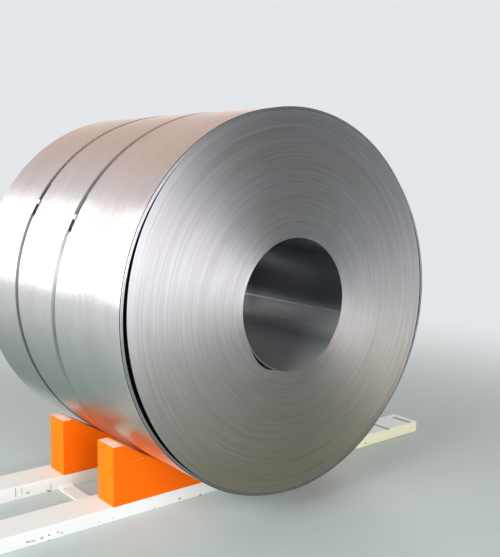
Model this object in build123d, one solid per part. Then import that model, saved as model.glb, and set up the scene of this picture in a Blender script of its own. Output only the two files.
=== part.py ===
from build123d import *

import os
from math import cos, degrees, pi, radians, sin, tan

# A strapped steel coil lying on four wedge chocks, on a low rack of two channel rails.
# Frame: +Z up, +Y along the bore, away from the front end of the coil, +X to the right.
# The origin is on the floor, under the middle of the coil. Sizes are in millimetres and
# angles in degrees. An angle on the coil runs from +X towards +Z.

# Coil: one steel strip, wound tight
coil_outer_diameter = 1470.0
bore_diameter = 508.0
coil_width = 1200.0
strip_thickness = 3.0
turn_groups = 9
turn_group_relief = 2.5

# Slack outer turns: near the front end they bulge at both sides and leave a gap under them
slack_turns = 3
bulge_length = 430.0
left_bulge = 25.0
left_bulge_from = 100.0
left_bulge_to = 238.0
right_bulge = 18.0
right_bulge_from = -45.0
right_bulge_to = 38.0
slack_gap_depth = 90.0
wide_gap = 17.0
wide_gap_from = 130.0
wide_gap_to = 237.0
narrow_gap = 8.0
narrow_gap_from = -40.0
narrow_gap_to = 30.0
thin_gap = 2.5
thin_gap_from = 112.0

# The two free ends of the strip
inner_end_angle = 248.0
inner_gap = 12.0
inner_gap_from = 212.0
inner_gap_widest_at = 237.0
inner_step_sweep = 62.0
outer_end_angle = 270.0
outer_step_sweep = 27.0
feather = 0.2

# Steel straps round the coil, and the crimped seal that closes each
strap_width = 25.0
strap_thickness = 1.0
strap_tail_length = 70.0
seal_length = 66.0
seal_wall = 1.4
seal_clearance = 0.3
crimp_radius = 4.0
crimp_spacing = 26.0
crimp_bite = 2.2

# Where each strap runs: its middle along Y, its lean at 3 and at 12 o'clock, its seal
front_strap_station = -63.0
front_strap_lean_x = 14.0
front_strap_lean_z = -79.0
front_seal_angle = 156.0
rear_strap_station = 195.0
rear_strap_lean_x = -56.0
rear_strap_lean_z = -7.0
rear_seal_angle = 152.3

# Wedge chocks
chock_height = 234.0
chock_thickness = 123.0
chock_flat = 44.0
chock_slope_angle = 29.6
chock_toe_thickness = 5.0
chock_edge_radius = 3.0
seat_clearance = 0.3

# Rack: two channel rails, web up, joined by two flat ties
rail_length = 2400.0
rail_width = 155.0
rail_height = 55.0
rail_web = 7.5
rail_flange = 9.0
rail_corner_radius = 4.0
front_rail_station = -246.0
rear_rail_station = 163.0
tie_width = 62.0
tie_thickness = 8.0
tie_station = 580.0
coil_over_rail = 38.0

coil_radius = coil_outer_diameter / 2
bore_radius = bore_diameter / 2
half_width = coil_width / 2
coil_axis_height = rail_height + coil_over_rail + coil_radius
past = 1.0
bulges = (
    (left_bulge, left_bulge_from, left_bulge_to),
    (right_bulge, right_bulge_from, right_bulge_to),
)


def on_end(radius, angle):
    """A point on the coil's end."""
    return (radius * cos(radians(angle)), radius * sin(radians(angle)))


def arc_band(start, end, outer, inner):
    """A face between two arcs, each given by its radius at the start, the middle and the end."""
    angles = (start, (start + end) / 2, end)
    outer_points = [on_end(radius, angle) for radius, angle in zip(outer, angles)]
    inner_points = [on_end(radius, angle) for radius, angle in zip(inner, angles)]
    outer_arc = ThreePointArc(*outer_points)
    inner_arc = ThreePointArc(*inner_points)
    start_edge = Line(outer_points[0], inner_points[0])
    end_edge = Line(outer_points[2], inner_points[2])
    return make_face([outer_arc, end_edge, inner_arc, start_edge])


def along_bore(face, near, far):
    """A prism from a face drawn on the coil's end, from near to far along Y."""
    return Pos(0, near, 0) * extrude(Plane.XZ * face, far - near, dir=(0, 1, 0))


def end_outline(side):
    """The turned outline of one end: groups of turns, each set in by its own small amount."""
    pitch = (coil_radius - bore_radius) / turn_groups
    points = []
    for group in range(turn_groups):
        radius = bore_radius + group * pitch
        set_in = turn_group_relief * abs(sin(2.4 * group))
        points.append((radius, side * (half_width - set_in)))
        points.append((radius + pitch, side * (half_width - set_in)))
    return points


def turned_strip():
    """The wound strip as one turned solid, with its bore and its stepped ends."""
    outline = end_outline(-1) + end_outline(1)[::-1]
    return revolve(make_face(Polyline(*outline, close=True)), Axis.Y)


def bulge_at(angle):
    """How far the slack turns bulge at an angle, on the front end of the coil."""
    for height, start, end in bulges:
        if start < angle < end:
            return height * sin(pi * (angle - start) / (end - start))
    return 0.0


def slack_bulge(height, start, end):
    """One bulge of the slack turns, from the front end of the coil to where it runs out."""
    rooted = coil_radius - feather
    inner = (coil_radius - strip_thickness,) * 3
    at_end = Plane.XZ * arc_band(start, end, (rooted, coil_radius + height, rooted), inner)
    run_out = Plane.XZ * arc_band(start, end, (rooted, rooted, rooted), inner)
    at_end = Pos(0, -half_width, 0) * at_end
    run_out = Pos(0, bulge_length - half_width, 0) * run_out
    return loft([at_end, run_out])


def slack_gaps():
    """The gaps under the slack turns: a wide crescent on the left and a thin one on the right."""
    cuts = []
    for start, end, widths in (
        (thin_gap_from, wide_gap_from + past, (thin_gap, thin_gap, thin_gap)),
        (wide_gap_from, wide_gap_to, (thin_gap, wide_gap, thin_gap)),
        (narrow_gap_from, narrow_gap_to, (thin_gap, narrow_gap, thin_gap)),
    ):
        angles = (start, (start + end) / 2, end)
        under = coil_radius - slack_turns * strip_thickness
        outer = [under + bulge_at(angle) for angle in angles]
        inner = [radius - width for radius, width in zip(outer, widths)]
        crescent = arc_band(start, end, outer, inner)
        cuts.append(along_bore(crescent, -half_width - past, slack_gap_depth - half_width))
    return cuts


def inner_end():
    """The strip's inner end: a gap behind the first turn, and the step that its end leaves."""
    first_turn = bore_radius + strip_thickness
    closed = first_turn + feather
    halfway = first_turn + inner_gap / 2
    widest = first_turn + inner_gap
    air = bore_radius - past
    cuts = []
    for start, end, outer, inner in (
        (inner_gap_from, inner_gap_widest_at, (closed, halfway, widest), first_turn),
        (inner_gap_widest_at, inner_end_angle, (widest, halfway, closed), first_turn),
        (
            inner_end_angle,
            inner_end_angle + inner_step_sweep,
            (closed, bore_radius + strip_thickness / 2, bore_radius + feather),
            air,
        ),
    ):
        band = arc_band(start, end, outer, (inner, inner, inner))
        cuts.append(along_bore(band, -half_width - past, half_width + past))
    return cuts


def outer_end():
    """The step at the strip's outer end, which runs out into the turn below it."""
    air = coil_radius + past
    step = arc_band(
        outer_end_angle,
        outer_end_angle - outer_step_sweep,
        (air, air, air),
        (coil_radius - strip_thickness, coil_radius - strip_thickness / 2, coil_radius - feather),
    )
    return along_bore(step, -half_width - past, half_width + past)


def coil():
    """The whole coil: the turned strip with its slack turns and its two free ends."""
    wound = turned_strip() + [slack_bulge(*bulge) for bulge in bulges]
    return wound - slack_gaps() - inner_end() - outer_end()


def tube(inner, outer):
    """A tube along the bore's axis, long enough to cut any strap from."""
    ring = Circle(outer) - Circle(inner)
    return extrude(Plane.XZ * ring, coil_width / 2, both=True)


def leaning_slab(station, lean_x, lean_z, width):
    """A slab across the coil's axis, leaning as its strap does."""
    across = Plane(
        origin=(0, station, 0),
        x_dir=(0, 0, 1),
        z_dir=(-lean_x / coil_radius, 1, -lean_z / coil_radius),
    )
    side = 2 * coil_outer_diameter
    return across * Box(side, side, width)


def sector(middle_angle, length):
    """A wedge from the coil's axis that takes this length of the coil's surface."""
    half = degrees(length / 2 / coil_radius)
    reach = 2 * coil_radius
    corners = [(0, 0), on_end(reach, middle_angle - half), on_end(reach, middle_angle + half)]
    return along_bore(make_face(Polyline(*corners, close=True)), -half_width, half_width)


def strap(run, seal_angle):
    """A steel strap with its tail lying on it under the seal."""
    first = coil_radius + strap_thickness
    band = tube(coil_radius, first)
    tail = tube(first, first + strap_thickness) & sector(seal_angle, strap_tail_length)
    return (band + tail) & leaning_slab(*run, strap_width)


def seal(run, seal_angle):
    """A crimped sleeve over both strap layers, with pairs of notches bitten in its edges."""
    inside = coil_radius + 2 * strap_thickness + seal_clearance
    outside = inside + seal_wall
    inner_width = strap_width + 2 * seal_clearance
    outer_width = inner_width + 2 * seal_wall
    sleeve = tube(coil_radius, outside) & sector(seal_angle, seal_length)
    sleeve = sleeve & leaning_slab(*run, outer_width)
    room = tube(coil_radius - past, inside) & leaning_slab(*run, inner_width)
    sleeve = sleeve - room
    station, lean_x, lean_z = run
    for offset in (-crimp_spacing / 2, crimp_spacing / 2):
        angle = seal_angle + degrees(offset / coil_radius)
        middle = station + lean_x * cos(radians(angle)) + lean_z * sin(radians(angle))
        for side in (-1, 1):
            reach = outer_width / 2 + crimp_radius - crimp_bite
            notch = Cylinder(crimp_radius, 6 * seal_wall)
            notch = Rot(0, 90, 0) * notch
            notch = Rot(0, -angle, 0) * Pos(outside, 0, 0) * notch
            sleeve = sleeve - Pos(0, middle + side * reach, 0) * notch
    return sleeve


def chock(side, station, gap):
    """A wedge chock whose slope stops this far short of the coil, on one side of it."""
    slope = radians(chock_slope_angle)
    top = rail_height + chock_height
    toe_top = rail_height + chock_toe_thickness
    clear_radius = coil_radius + gap
    touch_x = clear_radius * sin(slope)
    touch_z = coil_axis_height - clear_radius * cos(slope)
    flat_x = touch_x + (top - touch_z) / tan(slope)
    toe_x = touch_x - (touch_z - toe_top) / tan(slope)
    heel_x = flat_x + chock_flat
    outline = [
        (side * heel_x, rail_height),
        (side * heel_x, top),
        (side * flat_x, top),
        (side * toe_x, toe_top),
        (side * toe_x, rail_height),
    ]
    profile = Plane.XZ * make_face(Polyline(*outline, close=True))
    block = Pos(0, station, 0) * extrude(profile, chock_thickness, dir=(0, 1, 0))
    heel = block.faces().sort_by(Axis.X)[-1 if side > 0 else 0]
    upright = heel.edges().filter_by(Axis.Z)
    return fillet(upright, chock_edge_radius)


def rail(station):
    """A channel laid web up, with its two flanges down on the floor."""
    outer = Pos(rail_width / 2, rail_height / 2) * Rectangle(rail_width, rail_height)
    corners = outer.vertices().group_by(Axis.Y)[-1]
    outer = fillet(corners, rail_corner_radius)
    room_width = rail_width - 2 * rail_flange
    room_height = rail_height - rail_web
    room = Pos(rail_width / 2, room_height / 2) * Rectangle(room_width, room_height)
    section = Plane.YZ * (outer - room)
    return Pos(0, station, 0) * extrude(section, rail_length / 2, both=True)


def tie(side):
    """A flat bar across the rack, on the floor, butted between the two rails."""
    near = front_rail_station + rail_width
    length = rear_rail_station - near
    middle = Pos(side * tie_station, near + length / 2, tie_thickness / 2)
    return middle * Box(tie_width, length, tie_thickness)


front_run = (front_strap_station, front_strap_lean_x, front_strap_lean_z)
rear_run = (rear_strap_station, rear_strap_lean_x, rear_strap_lean_z)
coil_centre = Pos(0, 0, coil_axis_height)
strap_clearance = strap_thickness + seat_clearance

nodes = {
    "coil": coil_centre * coil(),
    "strap_front": coil_centre * strap(front_run, front_seal_angle),
    "strap_rear": coil_centre * strap(rear_run, rear_seal_angle),
    "seal_front": coil_centre * seal(front_run, front_seal_angle),
    "seal_rear": coil_centre * seal(rear_run, rear_seal_angle),
    "chock_front_left": chock(-1, front_rail_station, seat_clearance),
    "chock_front_right": chock(1, front_rail_station, seat_clearance),
    "chock_rear_left": chock(-1, rear_rail_station, strap_clearance),
    "chock_rear_right": chock(1, rear_rail_station, strap_clearance),
    "rail_front": rail(front_rail_station),
    "rail_rear": rail(rear_rail_station),
    "tie_left": tie(-1),
    "tie_right": tie(1),
}

os.makedirs("parts", exist_ok=True)
for name, shape in nodes.items():
    export_step(shape, f"parts/{name}.step")
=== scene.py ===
import math
import random

import bmesh
import bpy
from mathutils import Matrix, Vector


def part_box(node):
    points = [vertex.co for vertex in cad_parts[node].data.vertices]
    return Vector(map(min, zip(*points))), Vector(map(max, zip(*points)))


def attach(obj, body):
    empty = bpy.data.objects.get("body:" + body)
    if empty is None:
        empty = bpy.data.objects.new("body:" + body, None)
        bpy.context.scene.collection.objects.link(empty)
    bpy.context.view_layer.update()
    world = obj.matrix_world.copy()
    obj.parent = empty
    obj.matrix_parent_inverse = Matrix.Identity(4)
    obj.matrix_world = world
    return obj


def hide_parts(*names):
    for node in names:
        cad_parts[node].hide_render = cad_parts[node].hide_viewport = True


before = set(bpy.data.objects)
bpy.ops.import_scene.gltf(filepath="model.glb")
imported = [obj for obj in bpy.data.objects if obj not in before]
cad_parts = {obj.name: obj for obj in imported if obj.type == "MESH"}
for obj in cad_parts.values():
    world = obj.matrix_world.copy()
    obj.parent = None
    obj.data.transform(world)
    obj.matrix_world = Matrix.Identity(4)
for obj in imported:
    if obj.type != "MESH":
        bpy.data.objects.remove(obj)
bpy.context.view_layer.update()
scene = bpy.context.scene
scene.view_settings.view_transform = "Standard"


# The camera stands to the front left of the coil at standing height and looks a little down.
# Its place, turn and lens were fitted to the rims, the straps and the rack in the photograph.
camera_place = Vector((-2.036, -2.804, 1.321))
camera_turn = math.radians(39.44)
camera_dip = math.radians(7.53)
camera_roll = math.radians(0.84)
camera_focal_pixels = 802.3
picture_width_pixels = 500
camera_data = bpy.data.cameras.new("camera")
camera_data.sensor_fit = "HORIZONTAL"
camera_data.sensor_width = 36.0
camera_data.lens = camera_data.sensor_width * camera_focal_pixels / picture_width_pixels
camera = bpy.data.objects.new("camera", camera_data)
scene.collection.objects.link(camera)
camera.matrix_world = (
    Matrix.Translation(camera_place)
    @ Matrix.Rotation(-camera_turn, 4, "Z")
    @ Matrix.Rotation(math.radians(90) - camera_dip, 4, "X")
    @ Matrix.Rotation(camera_roll, 4, "Z")
)
scene.camera = camera


# The coil is one cold rolled strip wound tight on a mandrel. The edges of its turns show as fine
# rings on both ends. Near the front end its last three turns are slack: they bulge at both sides
# and leave a dark gap, and its first turn springs off the next one at the bottom of the bore.

# Sizes are in metres, and angles in degrees from the right side upwards, seen from the front.
coil_radius = 0.735
coil_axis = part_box("coil")[1].z - coil_radius
coil_half_width = 0.6
bore_radius = 0.254
strip = 0.003
hairline = 0.0003
hairline_depth = 0.02
coil_steps = 256
coil_crease = 25

# Where the strip's edges stand on an end: groups of turns, each set in by its own small depth,
# and finer groups near the rim and near the bore. Two single turns are not set in at all.
ring_widths = (0.004, 0.012)
ring_depths = (0.0002, 0.0004)
fine_ring_widths = (0.003, 0.008)
fine_ring_depths = (0.0002, 0.0004, 0.0006)
fine_near_rim = 0.11
fine_near_bore = 0.06
least_ring = 0.002
proud_rings = (0.704, 0.668)
front_ring_seed = 11
back_ring_seed = 23

# The slack turns from the inside out. A bulge or a gap is its height and the angles it runs
# between, and each turn further in bulges a little less than the one outside it. The outermost
# turn's bevelled edge is painted dark as shade, and the edge of the tight turns beside the gap
# carries a painted highlight.
slack_turns = 3
slack_edge = coil_radius - slack_turns * strip
slack_depths = (0.0004, 0.0012, 0.0)
gap_depth = 0.09
thin_gap = 0.0013
bulge_length = 0.43
bulge_rows = 10
bulges = ((0.025, 100, 233), (0.018, -45, 38))
gaps = ((0.0175, 128, 236), (0.008, -40, 30))
gap_skew = 1.25
inward_loss = 0.045
body_bulge_from = 0.6
rim_ring_width = 0.0045
dark_edge_bevel = 0.0018
rim_zone = 0.022

# The strip's free ends: the inner one at the bottom of the bore, with its lens-shaped gap, and
# the outer one under the coil. Each ends in a steep step, and the wall beside it is eased out.
bore_ease = 0.05
bore_play = 0.0002
inner_end_angle = 248
inner_gap = 0.012
inner_gap_from = 208
inner_gap_skew = 1.6
inner_step_sweep = 62
inner_step_ease = 20
first_turn_inset = 0.0004
first_turn_steps = 212
outer_end_angle = 270
outer_end_sweep = 27
outer_step = 0.1
outer_step_reach = 2.0


def turn_rings(inner, outer, seed):
    """Where the turns stand in groups on one end: inner and outer radius, and how far in."""
    chance = random.Random(seed)
    rings = []
    radius = inner
    while outer - radius > least_ring:
        to_rim = outer - radius
        to_bore = radius - inner
        width = chance.uniform(*ring_widths)
        depth = chance.uniform(*ring_depths)
        if to_rim < fine_near_rim or to_bore < fine_near_bore:
            width = chance.uniform(*fine_ring_widths)
            depth = chance.choice(fine_ring_depths)
        if any(0 < ring - radius < width for ring in proud_rings):
            width = strip
            depth = 0.0
        width = width if to_rim - width > least_ring else to_rim
        rings.append((radius, radius + width, depth))
        radius += width
    return rings


def ring_points(inner, outer, seed):
    """The outline of those rings, as points of radius and distance in from the end."""
    points = []
    for start, end, depth in turn_rings(inner, outer, seed):
        points.append((start, depth))
        points.append((end, depth))
    return points


def coil_outline():
    """The section of the coil that is turned about the bore, as points of radius and Y."""
    body_edge = slack_edge - thin_gap
    front = ring_points(bore_radius + strip, body_edge - rim_ring_width, front_ring_seed)
    front.append((body_edge - rim_ring_width, 0.0))
    front.append((body_edge, 0.0))
    front.append((body_edge, gap_depth))
    front.append((slack_edge, gap_depth))
    for turn in range(slack_turns):
        inner = slack_edge + turn * strip
        outer = inner + strip - (hairline if turn < slack_turns - 1 else 0)
        depth = slack_depths[turn]
        front.append((inner, depth))
        if turn < slack_turns - 1:
            front.append((outer, depth))
            front.append((outer, hairline_depth))
            front.append((inner + strip, hairline_depth))
        else:
            front.append((outer - dark_edge_bevel, depth))
            front.append((outer, depth + dark_edge_bevel))
    for row in range(1, bulge_rows + 1):
        front.append((coil_radius, row * bulge_length / bulge_rows))
    back = ring_points(bore_radius + strip, coil_radius, back_ring_seed)
    outline = [(radius, depth - coil_half_width) for radius, depth in front]
    outline += [(radius, coil_half_width - depth) for radius, depth in reversed(back)]
    return outline


def swell(angle, height, start, end, skew=1.0):
    """A swelling of this height that rises and falls between two angles."""
    share = (angle - start) % 360 / (end - start)
    return height * math.sin(math.pi * share ** skew) if share < 1 else 0.0


def slack_radius(radius, angle, y):
    """Where a point of the turned coil comes to, with the slack turns bulged near the front."""
    fade = 0.5 + 0.5 * math.cos(math.pi * min(1.0, (y + coil_half_width) / bulge_length))
    bulge = sum(swell(angle, *sizes) for sizes in bulges)
    if radius > slack_edge - thin_gap / 2:
        turns_in = math.floor((coil_radius - radius) / strip + 0.01)
        return radius + bulge * (1 - inward_loss * turns_in) * fade
    if radius > body_bulge_from:
        share = (radius - body_bulge_from) / (slack_edge - body_bulge_from)
        gap = sum(swell(angle, *sizes, skew=gap_skew) for sizes in gaps)
        return radius + max(0.0, bulge - gap) * share ** 2 * fade
    return radius


def bore_wall(angle):
    """Radius of the second turn's inner face. It gapes behind the strip's free inner end, and past
    that end it steps in to become the first turn."""
    past_end = (angle - inner_end_angle) % 360
    closed = bore_radius + bore_play
    if past_end < inner_step_sweep:
        return closed + strip * (1 - past_end / inner_step_sweep)
    eased = min(1.0, (past_end - inner_step_sweep) / inner_step_ease)
    gape = swell(angle, inner_gap, inner_gap_from, inner_end_angle, skew=inner_gap_skew)
    return closed + (strip - bore_play) * eased + gape


def set_in_shape(bm):
    """Moves the turned coil's points to where the slack turns and the strip's ends put them."""
    for vert in bm.verts:
        x = vert.co.x
        z = vert.co.z - coil_axis
        radius = math.hypot(x, z)
        angle = math.degrees(math.atan2(z, x)) % 360
        moved = slack_radius(radius, angle, vert.co.y)
        near_bore = bore_radius + strip + bore_ease - radius
        if near_bore > 0:
            moved += (bore_wall(angle) - bore_radius - strip) * (near_bore / bore_ease) ** 2
        before_end = outer_end_angle - angle
        out_of_turn = (radius - coil_radius) / strip + 1
        on_outer_turn = out_of_turn > 0.1
        if on_outer_turn and -outer_step < before_end < outer_end_sweep:
            moved -= strip * out_of_turn * (1 - before_end / outer_end_sweep)
        if -outer_step_reach < before_end < -outer_step:
            angle = outer_end_angle + outer_step
        vert.co.x = moved * math.cos(math.radians(angle))
        vert.co.z = moved * math.sin(math.radians(angle)) + coil_axis


def turned(outline, angle_from, sweep, steps):
    """A closed outline of radius and Y, turned about the bore from an angle through a sweep."""
    bm = bmesh.new()
    start = math.radians(angle_from)
    verts = []
    for radius, y in outline:
        place = (radius * math.cos(start), y, coil_axis + radius * math.sin(start))
        verts.append(bm.verts.new(place))
    edges = [bm.edges.new(pair) for pair in zip(verts, verts[1:] + verts[:1])]
    bmesh.ops.spin(
        bm,
        geom=verts + edges,
        cent=(0, 0, coil_axis),
        axis=(0, -1, 0),
        angle=math.radians(sweep),
        steps=steps,
        use_merge=abs(sweep) == 360,
    )
    ends = [edge for edge in bm.edges if edge.is_boundary]
    if ends:
        bmesh.ops.holes_fill(bm, edges=ends, sides=0)
    bmesh.ops.recalc_face_normals(bm, faces=bm.faces)
    return bm


def shade_by_angle(bm, degrees):
    """Smooth faces, with an edge kept sharp where its faces turn by more than this."""
    for face in bm.faces:
        face.smooth = True
    for edge in bm.edges:
        turn = edge.calc_face_angle(0.0) if edge.is_manifold else math.pi
        edge.smooth = turn < math.radians(degrees)


def finished(name, bm, *materials):
    """A finished piece from its bmesh and materials, riding on the part."""
    mesh = bpy.data.meshes.new(name)
    bm.to_mesh(mesh)
    bm.free()
    for material in materials:
        mesh.materials.append(material)
    made = bpy.data.objects.new(name, mesh)
    scene.collection.objects.link(made)
    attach(made, "root")
    return made


def added(tree, kind, sockets=(), **settings):
    """A node of this kind in a node tree, with its settings and the values of its sockets."""
    made = tree.nodes.new(kind)
    for setting, value in settings.items():
        setattr(made, setting, value)
    for socket, value in dict(sockets).items():
        made.inputs[socket].default_value = value
    return made


def name_sockets(group, direction, **kinds):
    """Names the sockets that a node group takes in or puts out."""
    for name, kind in kinds.items():
        group.interface.new_socket(name, in_out=direction, socket_type="NodeSocket" + kind)


def from_middle(tree):
    """The place of a point of the object, counted from the middle of the coil."""
    place = added(tree, "ShaderNodeTexCoord")
    centre = added(tree, "ShaderNodeVectorMath", {1: (0, 0, coil_axis)}, operation="SUBTRACT")
    tree.links.new(place.outputs["Object"], centre.inputs[0])
    return centre.outputs[0]


def from_axis(tree):
    """How a point of the object lies off the coil's axis, across and up."""
    flat = added(tree, "ShaderNodeVectorMath", {1: (1, 0, 1)}, operation="MULTIPLY")
    tree.links.new(from_middle(tree), flat.inputs[0])
    return flat.outputs[0]


def own_place(tree):
    """The X, Y and Z of a point of the object."""
    place = added(tree, "ShaderNodeTexCoord")
    apart = added(tree, "ShaderNodeSeparateXYZ")
    tree.links.new(place.outputs["Object"], apart.inputs[0])
    return apart.outputs


def strip_lines_group():
    """Lines that run round the coil: fine, broad and blotched, by a distance across them."""
    group = bpy.data.node_groups.new("strip_lines", "ShaderNodeTree")
    name_sockets(group, "INPUT", Across="Float")
    name_sockets(group, "OUTPUT", Fine="Float", Broad="Float", Blotch="Float")
    taken = added(group, "NodeGroupInput")
    given = added(group, "NodeGroupOutput")
    link = group.links.new
    spoke = added(group, "ShaderNodeVectorMath", operation="NORMALIZE")
    link(from_axis(group), spoke.inputs[0])
    for name, per_metre, round_it, detail in (
        ("Fine", 420.0, 1.6, 3.0),
        ("Broad", 120.0, 0.9, 4.0),
        ("Blotch", 7.0, 2.2, 5.0),
    ):
        across = added(group, "ShaderNodeMath", {1: per_metre}, operation="MULTIPLY")
        upright = added(group, "ShaderNodeCombineXYZ")
        around = added(group, "ShaderNodeVectorMath", {"Scale": round_it}, operation="SCALE")
        both = added(group, "ShaderNodeVectorMath", operation="ADD")
        noise = added(
            group,
            "ShaderNodeTexNoise",
            {"Scale": 1.0, "Detail": detail, "Roughness": 0.6},
        )
        link(taken.outputs["Across"], across.inputs[0])
        link(across.outputs[0], upright.inputs["Y"])
        link(spoke.outputs[0], around.inputs[0])
        link(around.outputs[0], both.inputs[0])
        link(upright.outputs[0], both.inputs[1])
        link(both.outputs[0], noise.inputs["Vector"])
        link(noise.outputs["Fac"], given.inputs[name])
    return group


strip_lines = strip_lines_group()


def new_material(name, **constants):
    """A material with these values on its Principled shader, and that shader."""
    material = bpy.data.materials.new(name)
    material.use_nodes = True
    shader = material.node_tree.nodes["Principled BSDF"]
    for socket, value in constants.items():
        shader.inputs[socket.replace("_", " ")].default_value = value
    return material, shader


def ramp(tree, source, low, high, low_at=0.35, high_at=0.65):
    """Takes a mask to a colour between two colours."""
    made = added(tree, "ShaderNodeValToRGB")
    first, last = made.color_ramp.elements
    first.position, first.color = low_at, (*low, 1)
    last.position, last.color = high_at, (*high, 1)
    tree.links.new(source, made.inputs["Fac"])
    return made.outputs["Color"]


def ranged(tree, source, low, high, low_at=0.3, high_at=0.7):
    """Takes a mask to a value between two values."""
    sockets = {"From Min": low_at, "From Max": high_at, "To Min": low, "To Max": high}
    made = added(tree, "ShaderNodeMapRange", sockets)
    tree.links.new(source, made.inputs["Value"])
    return made.outputs["Result"]


def multiplied(tree, one, other):
    """One colour darkened by another."""
    made = added(tree, "ShaderNodeMix", {"Factor": 1.0}, data_type="RGBA", blend_type="MULTIPLY")
    tree.links.new(one, made.inputs[6])
    tree.links.new(other, made.inputs[7])
    return made.outputs[2]


def blended(tree, mask, one, other):
    """One colour that gives way to another where the mask says so."""
    made = added(tree, "ShaderNodeMix", data_type="RGBA")
    tree.links.new(mask, made.inputs[0])
    for socket, colour in ((6, one), (7, other)):
        if isinstance(colour, tuple):
            made.inputs[socket].default_value = (*colour, 1)
        else:
            tree.links.new(colour, made.inputs[socket])
    return made.outputs[2]


def across_lines(tree, shader):
    """Turns the shader's sheen across the lines that rolling and slitting leave in the steel."""
    link = tree.links.new
    surface = added(tree, "ShaderNodeNewGeometry")
    around = added(tree, "ShaderNodeVectorMath", {1: (0, 1, 0)}, operation="CROSS_PRODUCT")
    across = added(tree, "ShaderNodeVectorMath", operation="CROSS_PRODUCT")
    unit = added(tree, "ShaderNodeVectorMath", operation="NORMALIZE")
    link(from_middle(tree), around.inputs[0])
    link(surface.outputs["Normal"], across.inputs[0])
    link(around.outputs[0], across.inputs[1])
    link(across.outputs[0], unit.inputs[0])
    link(unit.outputs[0], shader.inputs["Tangent"])


line_depth = 0.0006
wave_depth = 0.02
lighter_tone = (0.85, 0.84, 0.83)


def bare_steel(
    name,
    on_ends,
    anisotropy,
    tones,
    streak,
    shade_tone,
    shade_line,
    sheen,
    relief=0.0,
    waves=0.0,
    lighter_from=None,
):
    """Cold rolled steel with lines round the coil, by the radius on its ends and by Y elsewhere.
    The tones are dark, light and blotch, and a streak is how dark the fine lines are. Painted
    shade tones the steel below its line, and below the last height a lighter tone takes over
    again."""
    material, shader = new_material(name, Metallic=1.0, Anisotropic=anisotropy)
    tree = material.node_tree
    link = tree.links.new
    lines = added(tree, "ShaderNodeGroup", node_tree=strip_lines)
    place = own_place(tree)
    if on_ends:
        radius = added(tree, "ShaderNodeVectorMath", operation="LENGTH")
        link(from_axis(tree), radius.inputs[0])
        link(radius.outputs["Value"], lines.inputs["Across"])
    else:
        link(place["Y"], lines.inputs["Across"])
    dark, light, blotch = tones
    body = ramp(tree, lines.outputs["Broad"], dark, light, low_at=0.3, high_at=0.7)
    streaks = ramp(tree, lines.outputs["Fine"], (streak, streak, streak), (1, 1, 1), high_at=0.6)
    blotches = ramp(tree, lines.outputs["Blotch"], blotch, (1, 1, 1), low_at=0.3, high_at=0.62)
    toned = multiplied(tree, multiplied(tree, body, streaks), blotches)
    shade_mask = ramp(tree, place["Z"], shade_tone, (1, 1, 1), *shade_line)
    shaded_tone = multiplied(tree, toned, shade_mask)
    if lighter_from:
        lighter_mask = ranged(tree, place["Z"], 1.0, 0.0, *lighter_from)
        shaded_tone = blended(tree, lighter_mask, shaded_tone, lighter_tone)
    link(shaded_tone, shader.inputs["Base Color"])
    link(ranged(tree, lines.outputs["Broad"], *sheen), shader.inputs["Roughness"])
    if relief:
        bump = added(tree, "ShaderNodeBump", {"Strength": relief, "Distance": line_depth})
        link(lines.outputs["Fine"], bump.inputs["Height"])
        link(bump.outputs["Normal"], shader.inputs["Normal"])
        if waves:
            wave = added(tree, "ShaderNodeBump", {"Strength": waves, "Distance": wave_depth})
            link(lines.outputs["Blotch"], wave.inputs["Height"])
            link(wave.outputs["Normal"], bump.inputs["Normal"])
    across_lines(tree, shader)
    return material


# The ends' steel, toned below its line by painted shade.
turn_edge_steel = bare_steel(
    "turn_edge_steel",
    on_ends=True,
    anisotropy=0.72,
    tones=((0.63, 0.605, 0.63), (0.77, 0.745, 0.775), (0.93, 0.93, 0.9)),
    streak=0.86,
    shade_tone=(0.7, 0.67, 0.5),
    shade_line=(0.2, 0.95),
    sheen=(0.5, 0.54),
    relief=0.3,
)
# The wrap's steel, toned below its line by painted shade, and lighter again at the bottom.
wrap_steel = bare_steel(
    "wrap_steel",
    on_ends=False,
    anisotropy=0.5,
    tones=((0.67, 0.665, 0.67), (0.7, 0.695, 0.7), (0.92, 0.91, 0.89)),
    streak=0.985,
    shade_tone=(0.5, 0.57, 0.52),
    shade_line=(0.45, 0.82),
    sheen=(0.25, 0.27),
    relief=0.0015,
    waves=0.12,
    lighter_from=(0.3, 0.4),
)
# A darker copy of the wrap's steel: painted shade inside the bore.
shaded_bore_steel = bare_steel(
    "shaded_bore_steel",
    on_ends=False,
    anisotropy=0.5,
    tones=((0.3, 0.345, 0.4), (0.37, 0.42, 0.47), (0.8, 0.82, 0.78)),
    streak=0.96,
    shade_tone=(1, 1, 1),
    shade_line=(0.2, 0.95),
    sheen=(0.26, 0.262),
)


# Each band of painted reflection is its middle and half width in degrees, and its tones near
# the front and deep in the bore, where it turns to painted shade. It repeats every quarter turn.
# Distances along and up are from the coil's middle.
reflection_bands = (
    (-23, 17, (0.96, 0.99, 1.0), (0.1, 0.1, 0.12)),
    (-12.3, 1.1, (0.97, 0.95, 1.0), (0.24, 0.2, 0.28)),
)
eighth_turn = math.pi / 4
# Painted shade darkens the bore's steel further in.
deep_along = (-0.45, -0.06)
deep_shade_tone = (0.12, 0.12, 0.14)
dust_up = (-0.25, -0.08)
dust_tone = (0.52, 0.52, 0.5)
most_dust = 0.8
dusty_metal = 0.45


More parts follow.
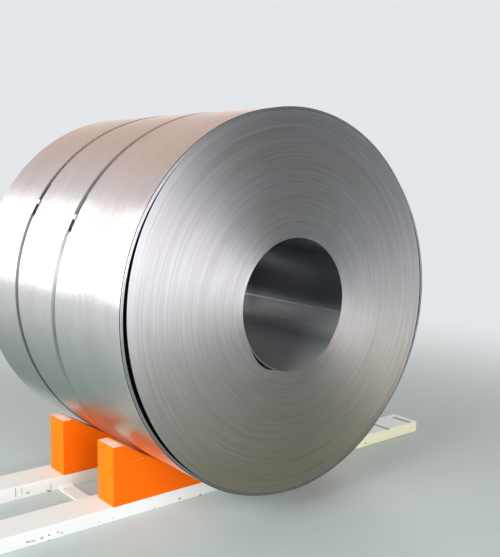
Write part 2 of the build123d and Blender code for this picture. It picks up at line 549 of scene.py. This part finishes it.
def bore_light_and_dust(material):
    """Painted reflections as lighter bands that repeat every quarter turn round the bore, painted
    shade that darkens the steel further in, and dust along the bottom."""
    tree = material.node_tree
    shader = tree.nodes["Principled BSDF"]
    link = tree.links.new
    apart = added(tree, "ShaderNodeSeparateXYZ")
    link(from_middle(tree), apart.inputs[0])
    around = added(tree, "ShaderNodeMath", operation="ARCTAN2")
    link(apart.outputs["Z"], around.inputs[0])
    link(apart.outputs["X"], around.inputs[1])
    colour = shader.inputs["Base Color"].links[0].from_socket
    depth = ranged(tree, apart.outputs["Y"], 0.0, 1.0, *deep_along)
    colour = multiplied(tree, colour, blended(tree, depth, (1, 1, 1), deep_shade_tone))
    for middle, half_width, reflection_front, reflection_deep in reflection_bands:
        reach = math.radians(half_width)
        turned_by = added(tree, "ShaderNodeMath", {1: math.radians(middle)}, operation="SUBTRACT")
        limits = {1: eighth_turn, 2: -eighth_turn}
        wrapped = added(tree, "ShaderNodeMath", limits, operation="WRAP")
        off = added(tree, "ShaderNodeMath", operation="ABSOLUTE")
        link(around.outputs[0], turned_by.inputs[0])
        link(turned_by.outputs[0], wrapped.inputs[0])
        link(wrapped.outputs[0], off.inputs[0])
        band = ranged(tree, off.outputs[0], 1.0, 0.0, reach * 0.3, reach)
        colour = blended(tree, band, colour, blended(tree, depth, reflection_front, reflection_deep))
    dust = ranged(tree, apart.outputs["Z"], most_dust, 0.0, *dust_up)
    colour = blended(tree, dust, colour, dust_tone)
    link(colour, shader.inputs["Base Color"])
    link(ranged(tree, dust, 1.0, dusty_metal, 0.0, most_dust), shader.inputs["Metallic"])


bore_light_and_dust(shaded_bore_steel)


# A lighter copy of the turn edge steel: painted highlight on the tight turns' rim beside the gap,
# on the turns that stand proud and on the first turn's ends, with painted shade below its line.
highlit_edge_steel = bare_steel(
    "highlit_turn_edge",
    on_ends=True,
    anisotropy=0.7,
    tones=((0.7, 0.685, 0.715), (0.83, 0.82, 0.86), (0.94, 0.94, 0.93)),
    streak=0.92,
    shade_tone=(0.6, 0.575, 0.46),
    shade_line=(0.3, 0.95),
    sheen=(0.48, 0.52),
    relief=0.2,
)
# A lighter copy of the turn edge steel: painted highlight on the slack turns' edges, with painted
# shade below its line.
slack_steel = bare_steel(
    "slack_turn_edge",
    on_ends=True,
    anisotropy=0.72,
    tones=((0.8, 0.78, 0.8), (0.9, 0.88, 0.91), (0.95, 0.95, 0.95)),
    streak=0.95,
    shade_tone=(0.52, 0.53, 0.5),
    shade_line=(0.74, 1.0),
    sheen=(0.5, 0.54),
    relief=0.1,
)
# A near-black copy of the turn edge steel: painted shade on the walls inside the gaps, on the bore
# behind the first turn's free end, and on the outermost turn's bevelled edge.
shaded_gap = bare_steel(
    "shaded_gap_wall",
    on_ends=True,
    anisotropy=0.3,
    tones=((0.016, 0.017, 0.024), (0.024, 0.025, 0.034), (0.8, 0.8, 0.8)),
    streak=0.9,
    shade_tone=(1, 1, 1),
    shade_line=(0.2, 0.95),
    sheen=(0.6, 0.7),
    relief=0.02,
)


coil_steels = (turn_edge_steel, wrap_steel, shaded_gap, shaded_bore_steel, slack_steel, highlit_edge_steel)
flush = 0.0001


def coil_finishes(bm):
    """Sorts the faces of the turned coil into its ends, wrap, bore, turn edges and gap walls."""
    for face in bm.faces:
        middle = face.calc_center_median()
        radius = math.hypot(middle.x, middle.z - coil_axis)
        angle = math.degrees(math.atan2(middle.z - coil_axis, middle.x))
        long = max(vert.co.y for vert in face.verts) - min(vert.co.y for vert in face.verts)
        behind_first_turn = inner_gap_from < angle % 360 < inner_end_angle
        proud = abs(middle.y) > coil_half_width - flush
        on_dark_edge = middle.y < 0 and radius > coil_radius - dark_edge_bevel
        steel = turn_edge_steel
        if abs(face.normal.y) < 0.5 and long > strip:
            if radius > coil_radius - strip / 4:
                steel = wrap_steel
            elif radius > slack_edge - thin_gap * 1.5:
                steel = shaded_gap
            elif radius < bore_radius + strip * 1.5:
                steel = shaded_gap if behind_first_turn else shaded_bore_steel
        elif on_dark_edge and abs(face.normal.y) < 0.9:
            steel = shaded_gap
        elif middle.y < 0 and radius > slack_edge:
            steel = slack_steel
        elif proud or (middle.y < 0 and radius > slack_edge - rim_zone):
            steel = highlit_edge_steel
        face.material_index = coil_steels.index(steel)


coil_bm = turned(coil_outline(), angle_from=0, sweep=360, steps=coil_steps)
coil_finishes(coil_bm)
set_in_shape(coil_bm)
bmesh.ops.recalc_face_normals(coil_bm, faces=coil_bm.faces)
shade_by_angle(coil_bm, coil_crease)
coil = finished("coil_turns", coil_bm, *coil_steels)
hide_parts("coil")

first_turn_edge = coil_half_width - first_turn_inset
first_turn_outline = [
    (bore_radius, -first_turn_edge),
    (bore_radius + strip, -first_turn_edge),
    (bore_radius + strip, first_turn_edge),
    (bore_radius, first_turn_edge),
]
first_turn_bm = turned(
    first_turn_outline,
    angle_from=inner_end_angle,
    sweep=inner_step_sweep - 360,
    steps=first_turn_steps,
)
for face in first_turn_bm.faces:
    face.material_index = 1 if abs(face.normal.y) < 0.5 else 0
shade_by_angle(first_turn_bm, coil_crease)
first_turn = finished("coil_first_turn", first_turn_bm, highlit_edge_steel, shaded_bore_steel)


# Two steel straps hold the coil. Each is a thin blued band drawn tight round it by hand, so it
# leans a little, with its tail lapped over its start and a crimped zinc seal over the lap.
strap_width = 0.025
strap_thickness = 0.001
strap_edge = 0.0003
strap_crease = 50
strap_tail = 0.15
tail_offset = 0.0025
tail_start = 0.6
tail_steps = 20
seal_length = 0.066
seal_wall = 0.0014
seal_flank = 0.002
seal_ridge = 0.0028
seal_ridge_place = -0.007
seal_room = 0.0003
seal_unshaded = 0.22
seal_steps = 44
seal_crease = 35
crimp_spacing = 0.026
crimp_bite = 0.003
crimp_reach = 0.006

# A tail starts past its seal's middle, and the upper end of a seal's front slope is left out of
# the painted shade on the rest of it: both are shares of a seal's length, counted from its
# middle. A strap's run is its place along the coil, how far it leans across and up, and its
# seal's angle.
strap_runs = {
    "front": (-0.063, 0.014, -0.079, 156.0),
    "rear": (0.195, -0.056, -0.007, 152.3),
}


def lean(bm, run):
    """Shifts a turned band along the coil, as its strap leans."""
    station, lean_x, lean_z = run
    for vert in bm.verts:
        angle = math.atan2(vert.co.z - coil_axis, vert.co.x)
        vert.co.y += station + lean_x * math.cos(angle) + lean_z * math.sin(angle)


def band_outline(inner, outer, width):
    """The section of a flat band with softened edges."""
    half = width / 2
    return [
        (inner, -half + strap_edge),
        (inner + strap_edge, -half),
        (outer - strap_edge, -half),
        (outer, -half + strap_edge),
        (outer, half - strap_edge),
        (outer - strap_edge, half),
        (inner + strap_edge, half),
        (inner, half - strap_edge),
    ]


def crimp(bm, seal_angle):
    """Bites pairs of notches into both edges of a seal."""
    for vert in bm.verts:
        angle = math.degrees(math.atan2(vert.co.z - coil_axis, vert.co.x)) % 360
        along = math.radians(angle - seal_angle) * coil_radius
        for middle in (-crimp_spacing / 2, crimp_spacing / 2):
            reach = abs(along - middle) / crimp_reach
            if reach < 1 and abs(vert.co.y) > strap_width / 2:
                bite = crimp_bite * math.cos(reach * math.pi / 2)
                vert.co.y -= math.copysign(bite, vert.co.y)


# The rear strap is duller than the front one. Both are darker above their seals, a painted
# shade, and browner near the top.
blued_tones = ((0.2, 0.225, 0.22), (0.4, 0.44, 0.42))
blued_sheen = (0.28, 0.36)
rear_along = (0.04, 0.1)
rear_tone = (0.4, 0.37, 0.36)
shade_up = (1.13, 1.16)
strap_shade_tone = (0.4, 0.4, 0.4)
browned_up = (1.22, 1.5)
browned_tone = (0.55, 0.47, 0.42)
most_browned = 0.85
blued, blued_shader = new_material("blued_strap", Metallic=1.0, Anisotropic=0.5)
blued_tree = blued.node_tree
blued_lines = added(blued_tree, "ShaderNodeGroup", node_tree=strip_lines)
blued_place = own_place(blued_tree)
blued_tree.links.new(blued_place["Y"], blued_lines.inputs["Across"])
blued_tone = ramp(blued_tree, blued_lines.outputs["Blotch"], *blued_tones)
# The rear strap is toned duller, and both straps are darkened above their seals by painted shade.
for axis, reach, dull_and_shade_tone in (("Y", rear_along, rear_tone), ("Z", shade_up, strap_shade_tone)):
    blued_dull_shade_mask = ranged(blued_tree, blued_place[axis], 0.0, 1.0, *reach)
    blued_dulled_shaded = blended(blued_tree, blued_dull_shade_mask, (1, 1, 1), dull_and_shade_tone)
    blued_tone = multiplied(blued_tree, blued_tone, blued_dulled_shaded)
blued_high = ranged(blued_tree, blued_place["Z"], 0.0, most_browned, *browned_up)
blued_tone = blended(blued_tree, blued_high, blued_tone, browned_tone)
blued_tree.links.new(blued_tone, blued_shader.inputs["Base Color"])
blued_tree.links.new(
    ranged(blued_tree, blued_lines.outputs["Fine"], *blued_sheen),
    blued_shader.inputs["Roughness"],
)


def seal_metal(name, grain, dark, light, sheen):
    """The metal of a seal, with a fine grain in its tone and its gloss."""
    material, shader = new_material(name, Metallic=1.0)
    tree = material.node_tree
    place = added(tree, "ShaderNodeTexCoord")
    noise = added(tree, "ShaderNodeTexNoise", {"Scale": grain, "Detail": 4.0})
    tree.links.new(place.outputs["Object"], noise.inputs["Vector"])
    tree.links.new(ramp(tree, noise.outputs["Fac"], dark, light), shader.inputs["Base Color"])
    tree.links.new(ranged(tree, noise.outputs["Fac"], *sheen), shader.inputs["Roughness"])
    return material


zinc = seal_metal(
    "zinc_seal",
    grain=260.0,
    dark=(0.62, 0.63, 0.62),
    light=(0.86, 0.86, 0.85),
    sheen=(0.3, 0.5),
)
# Near-black metal that paints shade on the seals' flanks and front slopes.
seal_shade = seal_metal(
    "shaded_seal_flank",
    grain=180.0,
    dark=(0.015, 0.015, 0.017),
    light=(0.05, 0.05, 0.05),
    sheen=(0.45, 0.6),
)

for side, (station, lean_x, lean_z, seal_angle) in strap_runs.items():
    run = (station, lean_x, lean_z)
    first = coil_radius + strap_thickness
    strap_section = band_outline(coil_radius, first, strap_width)
    strap_bm = turned(strap_section, angle_from=0, sweep=360, steps=coil_steps)
    lean(strap_bm, run)
    shade_by_angle(strap_bm, strap_crease)
    strap = finished(f"strap_band_{side}", strap_bm, blued)
    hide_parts(f"strap_{side}")

    seal_sweep = math.degrees(seal_length / coil_radius)
    tail_sweep = math.degrees(strap_tail / coil_radius)
    tail_from = seal_angle + seal_sweep * tail_start
    tail_section = band_outline(first, first + strap_thickness, strap_width)
    tail_bm = turned(tail_section, tail_from, -tail_sweep, tail_steps)
    lean(tail_bm, (station - tail_offset, lean_x, lean_z))
    shade_by_angle(tail_bm, strap_crease)
    tail = finished(f"strap_tail_{side}", tail_bm, blued)

    half_room = strap_width / 2 + tail_offset + seal_room
    half_out = half_room + seal_wall
    under = coil_radius + 2 * strap_thickness + seal_room
    sleeve = [
        (coil_radius, -half_out - seal_flank),
        (under + seal_wall * 0.4, -half_out),
        (under + seal_wall * 0.8, -half_out + seal_wall),
        (under + seal_wall + seal_ridge, seal_ridge_place),
        (under + seal_wall + seal_ridge * 0.6, half_out - seal_wall),
        (under + seal_wall * 0.5, half_out),
        (coil_radius, half_out + seal_flank),
        (coil_radius, half_room),
        (under, half_room),
        (under, -half_room),
        (coil_radius, -half_room),
    ]
    seal_bm = turned(sleeve, seal_angle - seal_sweep / 2, seal_sweep, seal_steps)
    # The flanks, and the front slope below its upper end, are near black: painted shade.
    for face in seal_bm.faces:
        middle = face.calc_center_median()
        angle = math.degrees(math.atan2(middle.z - coil_axis, middle.x))
        in_front_shade = angle > seal_angle - seal_sweep * seal_unshaded and middle.y < seal_ridge_place
        on_flank = abs(face.normal.y) > 0.4
        face.material_index = 1 if in_front_shade or on_flank else 0
    crimp(seal_bm, seal_angle)
    lean(seal_bm, run)
    shade_by_angle(seal_bm, seal_crease)
    seal = finished(f"seal_sleeve_{side}", seal_bm, zinc, seal_shade)
    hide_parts(f"seal_{side}")


# Four orange wedge chocks keep the coil from rolling. Each is one moulded block with eased edges,
# set on its rail with the slope against the coil. Their tops carry a patchy painted highlight, the
# faces at heel and toe carry painted light in a yellower orange, and the face of the front left
# one has three small scuffs.
chock_flat = 0.044
chock_slope = math.radians(29.6)
chock_edge = 0.004
chock_crease = 28
least_edge = 0.01
orange_tones = ((0.95, 0.15, 0.001), (0.91, 0.13, 0.0015))
orange_sheen = (0.38, 0.55)
# The tops' pale tone is a painted highlight, patchy where the scuffs are.
glare_tone = (0.98, 0.85, 0.7)
glare_facing = (0.7, 0.85)
glare_up = (0.245, 0.285)
glare_scuffs = (0.1, 0.7)
least_glare = 0.6
scuff_tone = (0.94, 0.25, 0.045)
# The faces at heel and toe are a yellower orange: painted light.
side_light_tone = (0.9, 0.2, 0.003)
side_light_facing = (0.8, 0.99)

# Each scuff is the middle and the half size of a box.
scuffs = (
    ((-0.494, -0.246, 0.2165), (0.013, 0.01, 0.0016)),
    ((-0.474, -0.246, 0.2195), (0.009, 0.01, 0.002)),
    ((-0.459, -0.246, 0.2215), (0.006, 0.01, 0.003)),
)


def shared(tree, *masks):
    """A mask that is full only where all these masks are."""
    result, *others = masks
    for other in others:
        both = added(tree, "ShaderNodeMath", operation="MULTIPLY")
        tree.links.new(result, both.inputs[0])
        tree.links.new(other, both.inputs[1])
        result = both.outputs[0]
    return result


def in_box(tree, place, middle, half):
    """A mask that is 1 inside a box, by the X, Y and Z of a place."""
    inside = []
    for axis, centre, reach in zip("XYZ", middle, half):
        near = added(tree, "ShaderNodeMath", {1: centre, 2: reach}, operation="COMPARE")
        tree.links.new(place[axis], near.inputs[0])
        inside.append(near.outputs[0])
    return shared(tree, *inside)


def facing(tree):
    """The X, Y and Z of the way a surface faces."""
    surface = added(tree, "ShaderNodeNewGeometry")
    apart = added(tree, "ShaderNodeSeparateXYZ")
    tree.links.new(surface.outputs["Normal"], apart.inputs[0])
    return apart.outputs


def worn_group():
    """Wear in patches on a coated surface: chips, scuffs that run one way, and settled dirt."""
    group = bpy.data.node_groups.new("coat_wear", "ShaderNodeTree")
    name_sockets(group, "OUTPUT", Chips="Float", Scuffs="Float", Dirt="Float")
    given = added(group, "NodeGroupOutput")
    link = group.links.new
    place = added(group, "ShaderNodeTexCoord")
    for name, stretch, detail, low, high in (
        ("Chips", (30.0, 60.0, 75.0), 3.0, 0.69, 0.71),
        ("Scuffs", (9.0, 30.0, 110.0), 4.0, 0.5, 0.72),
        ("Dirt", (3.0, 5.0, 7.0), 8.0, 0.35, 0.75),
    ):
        scaled = added(group, "ShaderNodeVectorMath", {1: stretch}, operation="MULTIPLY")
        noise = added(group, "ShaderNodeTexNoise", {"Scale": 1.0, "Detail": detail})
        link(place.outputs["Object"], scaled.inputs[0])
        link(scaled.outputs[0], noise.inputs["Vector"])
        link(ranged(group, noise.outputs["Fac"], 0.0, 1.0, low, high), given.inputs[name])
    return group


coat_wear = worn_group()


orange, orange_shader = new_material("orange_block", Specular_IOR_Level=0.07)
orange_tree = orange.node_tree
orange_wear = added(orange_tree, "ShaderNodeGroup", node_tree=coat_wear)
orange_place = own_place(orange_tree)
orange_facing = facing(orange_tree)
# Painted highlight on the tops.
orange_glare = shared(
    orange_tree,
    ranged(orange_tree, orange_facing["Z"], 0.0, 1.0, *glare_facing),
    ranged(orange_tree, orange_place["Z"], 0.0, 1.0, *glare_up),
    ranged(orange_tree, orange_wear.outputs["Scuffs"], least_glare, 1.0, *glare_scuffs),
)
orange_tone = blended(orange_tree, orange_wear.outputs["Dirt"], *orange_tones)
orange_tone = blended(orange_tree, orange_glare, orange_tone, glare_tone)
for middle, half in scuffs:
    orange_scuff = in_box(orange_tree, orange_place, middle, half)
    orange_tone = blended(orange_tree, orange_scuff, orange_tone, scuff_tone)
# Painted light on the faces at heel and toe.
orange_out = added(orange_tree, "ShaderNodeMath", operation="ABSOLUTE")
orange_tree.links.new(orange_facing["X"], orange_out.inputs[0])
orange_side_light = ranged(orange_tree, orange_out.outputs[0], 0.0, 1.0, *side_light_facing)
orange_tone = blended(orange_tree, orange_side_light, orange_tone, side_light_tone)
orange_tree.links.new(orange_tone, orange_shader.inputs["Base Color"])
orange_tree.links.new(
    ranged(orange_tree, orange_wear.outputs["Dirt"], *orange_sheen, low_at=0.0, high_at=1.0),
    orange_shader.inputs["Roughness"],
)

for name in ("front_left", "front_right", "rear_left", "rear_right"):
    low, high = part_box(f"chock_{name}")
    side = -1 if name.endswith("left") else 1
    heel = max(abs(low.x), abs(high.x))
    toe = min(abs(low.x), abs(high.x))
    flat = heel - chock_flat
    toe_top = high.z - (flat - toe) * math.tan(chock_slope)
    outline = [(toe, low.z), (heel, low.z), (heel, high.z), (flat, high.z), (toe, toe_top)]
    chock_bm = bmesh.new()
    verts = [chock_bm.verts.new((side * x, low.y, z)) for x, z in outline]
    side_face = chock_bm.faces.new(verts)
    across = bmesh.ops.extrude_face_region(chock_bm, geom=[side_face])
    moved = [item for item in across["geom"] if isinstance(item, bmesh.types.BMVert)]
    bmesh.ops.translate(chock_bm, verts=moved, vec=(0, high.y - low.y, 0))
    bmesh.ops.recalc_face_normals(chock_bm, faces=chock_bm.faces)
    soft = [
        edge
        for edge in chock_bm.edges
        if edge.calc_length() > least_edge
        and max(vert.co.z for vert in edge.verts) > low.z + least_edge
    ]
    bmesh.ops.bevel(
        chock_bm,
        geom=soft,
        offset=chock_edge,
        offset_type="OFFSET",
        affect="EDGES",
        segments=3,
        profile=0.5,
        material=-1,
        clamp_overlap=True,
    )
    shade_by_angle(chock_bm, chock_crease)
    chock = finished(f"chock_block_{name}", chock_bm, orange)
    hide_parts(f"chock_{name}")


# The rack is two white painted channels lying web up, tied by a flat bar on the floor near each
# end. The bars are welded in. To the right the paint is lighter, a painted pool of light, and
# cream on the front faces there. The paint is chipped near the floor, dark lines cross the front
# rail's top and run down the rear rail's face, and a painted shadow darkens the rack's foot.
rail_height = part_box("rail_front")[1].z
chip_height = 0.03
contact_shade_height = 0.003
white_tones = ((0.82, 0.83, 0.81), (0.8, 0.8, 0.74))
white_sheen = (0.34, 0.55)
# Lighter paint to the right is a painted pool of light, and the front faces there are cream.
lit_right_tone = (0.95, 0.97, 0.98)
lit_right_across = (0.0, 0.4)
cream_tone = (0.97, 0.95, 0.66)
cream_facing = (-0.9, -0.1)
chipped_tone = (0.24, 0.22, 0.19)
dark_mark_tone = (0.33, 0.32, 0.31)
contact_shade_tone = (0.3, 0.29, 0.27)
most_contact_shade = 0.8

# Each dark line, and each knock in the front rail's front face, is the middle and the half size
# of a box.
dark_lines = (
    ((0.98, -0.2, rail_height), (0.009, 0.046, 0.01)),
    ((1.153, -0.186, rail_height), (0.011, 0.056, 0.01)),
    ((-0.797, 0.163, 0.034), (0.0018, 0.004, 0.019)),
    ((-0.771, 0.163, 0.032), (0.0013, 0.004, 0.015)),
    ((-0.645, 0.163, 0.02), (0.0015, 0.004, 0.012)),
)
knocks = (
    ((-0.9272, -0.246, 0.0186), (0.007, 0.004, 0.003)),
    ((-0.9085, -0.246, 0.0168), (0.009, 0.004, 0.002)),
    ((-0.8745, -0.246, 0.0181), (0.005, 0.004, 0.0035)),
    ((-0.8476, -0.246, 0.0217), (0.004, 0.004, 0.003)),
    ((-0.8127, -0.246, 0.023), (0.006, 0.004, 0.0015)),
    ((-0.7971, -0.246, 0.0148), (0.005, 0.004, 0.002)),
)
bead_radius = 0.0035
bead_ripple = 0.006
bead_ripple_depth = 0.16
bead_cuts = 35
bead_crease = 60


rack_paint, rack_shader = new_material("white_rack_paint", Specular_IOR_Level=0.06)
rack_tree = rack_paint.node_tree
rack_wear = added(rack_tree, "ShaderNodeGroup", node_tree=coat_wear)
rack_place = own_place(rack_tree)
rack_chipped = shared(
    rack_tree,
    rack_wear.outputs["Chips"],
    ranged(rack_tree, rack_place["Z"], 1.0, 0.0, chip_height * 0.6, chip_height),
)
rack_tone = blended(rack_tree, rack_wear.outputs["Dirt"], *white_tones)
rack_lit_right = ranged(rack_tree, rack_place["X"], 0.0, 1.0, *lit_right_across)
rack_tone = blended(rack_tree, rack_lit_right, rack_tone, lit_right_tone)
rack_front = ranged(rack_tree, facing(rack_tree)["Y"], 1.0, 0.0, *cream_facing)
rack_cream = shared(rack_tree, rack_lit_right, rack_front)
rack_tone = blended(rack_tree, rack_cream, rack_tone, cream_tone)
rack_tone = blended(rack_tree, rack_chipped, rack_tone, chipped_tone)
for middle, half in dark_lines + knocks:
    dark_mark = in_box(rack_tree, rack_place, middle, half)
    rack_tone = blended(rack_tree, dark_mark, rack_tone, dark_mark_tone)
# Painted shadow darkens the foot of the rack where it meets the floor.
floor_contact_shade = ranged(rack_tree, rack_place["Z"], most_contact_shade, 0.0, 0.0, contact_shade_height)
rack_tone = blended(rack_tree, floor_contact_shade, rack_tone, contact_shade_tone)
rack_tree.links.new(rack_tone, rack_shader.inputs["Base Color"])
rack_tree.links.new(
    ranged(rack_tree, rack_wear.outputs["Dirt"], *white_sheen, low_at=0.0, high_at=1.0),
    rack_shader.inputs["Roughness"],
)
for name in ("rail_front", "rail_rear", "tie_left", "tie_right"):
    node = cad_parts[name]
    node.data.materials.clear()
    node.data.materials.append(rack_paint)

for side in ("left", "right"):
    low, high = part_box(f"tie_{side}")
    for end, y in (("front", low.y), ("rear", high.y)):
        bead_bm = bmesh.new()
        bmesh.ops.create_cone(
            bead_bm,
            cap_ends=True,
            segments=12,
            radius1=bead_radius,
            radius2=bead_radius,
            depth=high.x - low.x,
        )
        along = [
            edge
            for edge in bead_bm.edges
            if abs(edge.verts[0].co.z - edge.verts[1].co.z) > least_edge
        ]
        bmesh.ops.subdivide_edges(bead_bm, edges=along, cuts=bead_cuts)
        for vert in bead_bm.verts:
            ripple = 0.5 + 0.5 * math.cos(2 * math.pi * vert.co.z / bead_ripple)
            vert.co.x *= 1 - bead_ripple_depth * ripple
            vert.co.y *= 1 - bead_ripple_depth * ripple
        turn = Matrix.Rotation(math.radians(90), 4, "Y")
        place = Matrix.Translation(((low.x + high.x) / 2, y, high.z))
        bmesh.ops.transform(bead_bm, matrix=place @ turn, verts=bead_bm.verts)
        bmesh.ops.recalc_face_normals(bead_bm, faces=bead_bm.faces)
        shade_by_angle(bead_bm, bead_crease)
        bead = finished(f"weld_bead_{side}_{end}", bead_bm, rack_paint)


# The floor is plain and pale. With its distance from the coil it fades into a plain pale
# background, seen straight and, beyond the coil, also in the steel.
floor_reach = 40.0
floor_tone = (0.5, 0.58, 0.57)
background = (0.78, 0.8, 0.82)
fade_away = {"From Min": 1.0, "From Max": 4.8}
steel_fade_along = (0.0, 0.8)
floor_bm = bmesh.new()
bmesh.ops.create_grid(floor_bm, x_segments=1, y_segments=1, size=floor_reach)
floor_mesh = bpy.data.meshes.new("floor")
floor_bm.to_mesh(floor_mesh)
floor_bm.free()
floor = bpy.data.objects.new("floor", floor_mesh)
scene.collection.objects.link(floor)
floor_paint, floor_shader = new_material("floor_paint", Roughness=0.5)
floor_tree = floor_paint.node_tree
floor_place = added(floor_tree, "ShaderNodeTexCoord")
floor_far = added(floor_tree, "ShaderNodeVectorMath", operation="LENGTH")
floor_rays = added(floor_tree, "ShaderNodeLightPath")
floor_seen = added(floor_tree, "ShaderNodeMath", operation="MAXIMUM")
floor_glow = added(floor_tree, "ShaderNodeEmission", {"Color": (*background, 1)})
floor_mix = added(floor_tree, "ShaderNodeMixShader")
floor_shader.inputs["Base Color"].default_value = (*floor_tone, 1)
floor_tree.links.new(floor_place.outputs["Object"], floor_far.inputs[0])
floor_ease = added(
    floor_tree, "ShaderNodeMapRange", fade_away, interpolation_type="SMOOTHERSTEP"
)
floor_tree.links.new(floor_far.outputs["Value"], floor_ease.inputs["Value"])
floor_beyond = ranged(floor_tree, own_place(floor_tree)["Y"], 0.0, 1.0, *steel_fade_along)
floor_in_steel = shared(floor_tree, floor_rays.outputs["Is Glossy Ray"], floor_beyond)
floor_tree.links.new(floor_rays.outputs["Is Camera Ray"], floor_seen.inputs[0])
floor_tree.links.new(floor_in_steel, floor_seen.inputs[1])
floor_fade = shared(floor_tree, floor_ease.outputs["Result"], floor_seen.outputs[0])
floor_tree.links.new(floor_fade, floor_mix.inputs[0])
floor_tree.links.new(floor_shader.outputs[0], floor_mix.inputs[1])
floor_tree.links.new(floor_glow.outputs[0], floor_mix.inputs[2])
floor_tree.links.new(floor_mix.outputs[0], floor_tree.nodes["Material Output"].inputs["Surface"])
floor_mesh.materials.append(floor_paint)


# The light is plain soft studio light: a wide window panel behind to the left, a tall front panel
# beyond the camera, a fill panel at the left and a panel high on the right. The set's far side is
# pale, and the steel shows that, while the room behind the camera is dark.
def light_panel(name, place, aim, size, radiance, colour):
    """A soft rectangular lamp at a place, turned to face a point."""
    data = bpy.data.lights.new(name, "AREA")
    data.shape = "RECTANGLE"
    data.size, data.size_y = size
    data.energy = radiance * math.pi * size[0] * size[1]
    data.color = colour
    lamp = bpy.data.objects.new(name, data)
    scene.collection.objects.link(lamp)
    lamp.location = place
    lamp.rotation_euler = (Vector(aim) - Vector(place)).to_track_quat("-Z", "Y").to_euler()
    lamp.visible_camera = False


light_panel(
    "window_panel",
    place=(-3.7, 7.1, 2.9),
    aim=(0.0, 7.1, 2.9),
    size=(7.8, 5.1),
    radiance=1.5,
    colour=(1, 1, 1),
)
light_panel(
    "front_panel",
    place=(-1.4, -6.4, 1.95),
    aim=(0, -0.6, 0.83),
    size=(2.9, 4.5),
    radiance=7.4,
    colour=(0.97, 0.95, 1),
)
light_panel(
    "fill_panel",
    place=(-5.3, -1.1, 2.3),
    aim=(-0.6, -0.1, 0.3),
    size=(3.0, 2.6),
    radiance=12.0,
    colour=(1, 1, 1),
)
light_panel(
    "top_panel",
    place=(3.3, 0.9, 4.3),
    aim=(0.2, 0.3, 0.0),
    size=(3.0, 2.6),
    radiance=2.8,
    colour=(1, 0.99, 0.97),
)

# What the steel mirrors, by the direction looked in: a bright low band and a warm wall on the far
# side, dimmer overhead, and dark behind the camera.
camera_side_tone = (0.07, 0.07, 0.07)
low_band_tone = (1.5, 1.43, 1.33)
warm_wall_tone = (0.8, 0.595, 0.515)
left_wall_tone = (0.82, 0.77, 0.77)
overhead_tone = (0.25, 0.25, 0.25)
room_tone = (0.18, 0.18, 0.18)
far_reach = (-0.1, 0.5)
wall_reach = (0.16, 0.34)
overhead_reach = (0.6, 0.9)
left_reach = (-0.2, 0.1)
world = bpy.data.worlds.new("studio")
scene.world = world
world.use_nodes = True
sky = world.node_tree
sky_place = added(sky, "ShaderNodeTexCoord")
sky_apart = added(sky, "ShaderNodeSeparateXYZ")
sky_rays = added(sky, "ShaderNodeLightPath")
sky.links.new(sky_place.outputs["Generated"], sky_apart.inputs[0])
sky_far = ranged(sky, sky_apart.outputs["Y"], 0.0, 1.0, *far_reach)
sky_wall = ranged(sky, sky_apart.outputs["Z"], 0.0, 1.0, *wall_reach)
sky_high = ranged(sky, sky_apart.outputs["Z"], 0.0, 1.0, *overhead_reach)
sky_left = ranged(sky, sky_apart.outputs["X"], 1.0, 0.0, *left_reach)
far_wall = blended(sky, sky_left, warm_wall_tone, left_wall_tone)
far_side = blended(sky, sky_wall, low_band_tone, far_wall)
all_round = blended(sky, sky_far, camera_side_tone, far_side)
in_steel = blended(sky, sky_high, all_round, overhead_tone)
sky_colour = blended(sky, sky_rays.outputs["Is Glossy Ray"], room_tone, in_steel)
sky_light = sky.nodes["Background"]
sky.links.new(sky_colour, sky_light.inputs["Color"])
sky_seen = added(sky, "ShaderNodeBackground", {"Color": (*background, 1), "Strength": 1.0})
sky_mix = added(sky, "ShaderNodeMixShader")
sky.links.new(sky_rays.outputs["Is Camera Ray"], sky_mix.inputs[0])
sky.links.new(sky_light.outputs[0], sky_mix.inputs[1])
sky.links.new(sky_seen.outputs[0], sky_mix.inputs[2])
sky.links.new(sky_mix.outputs[0], sky.nodes["World Output"].inputs["Surface"])
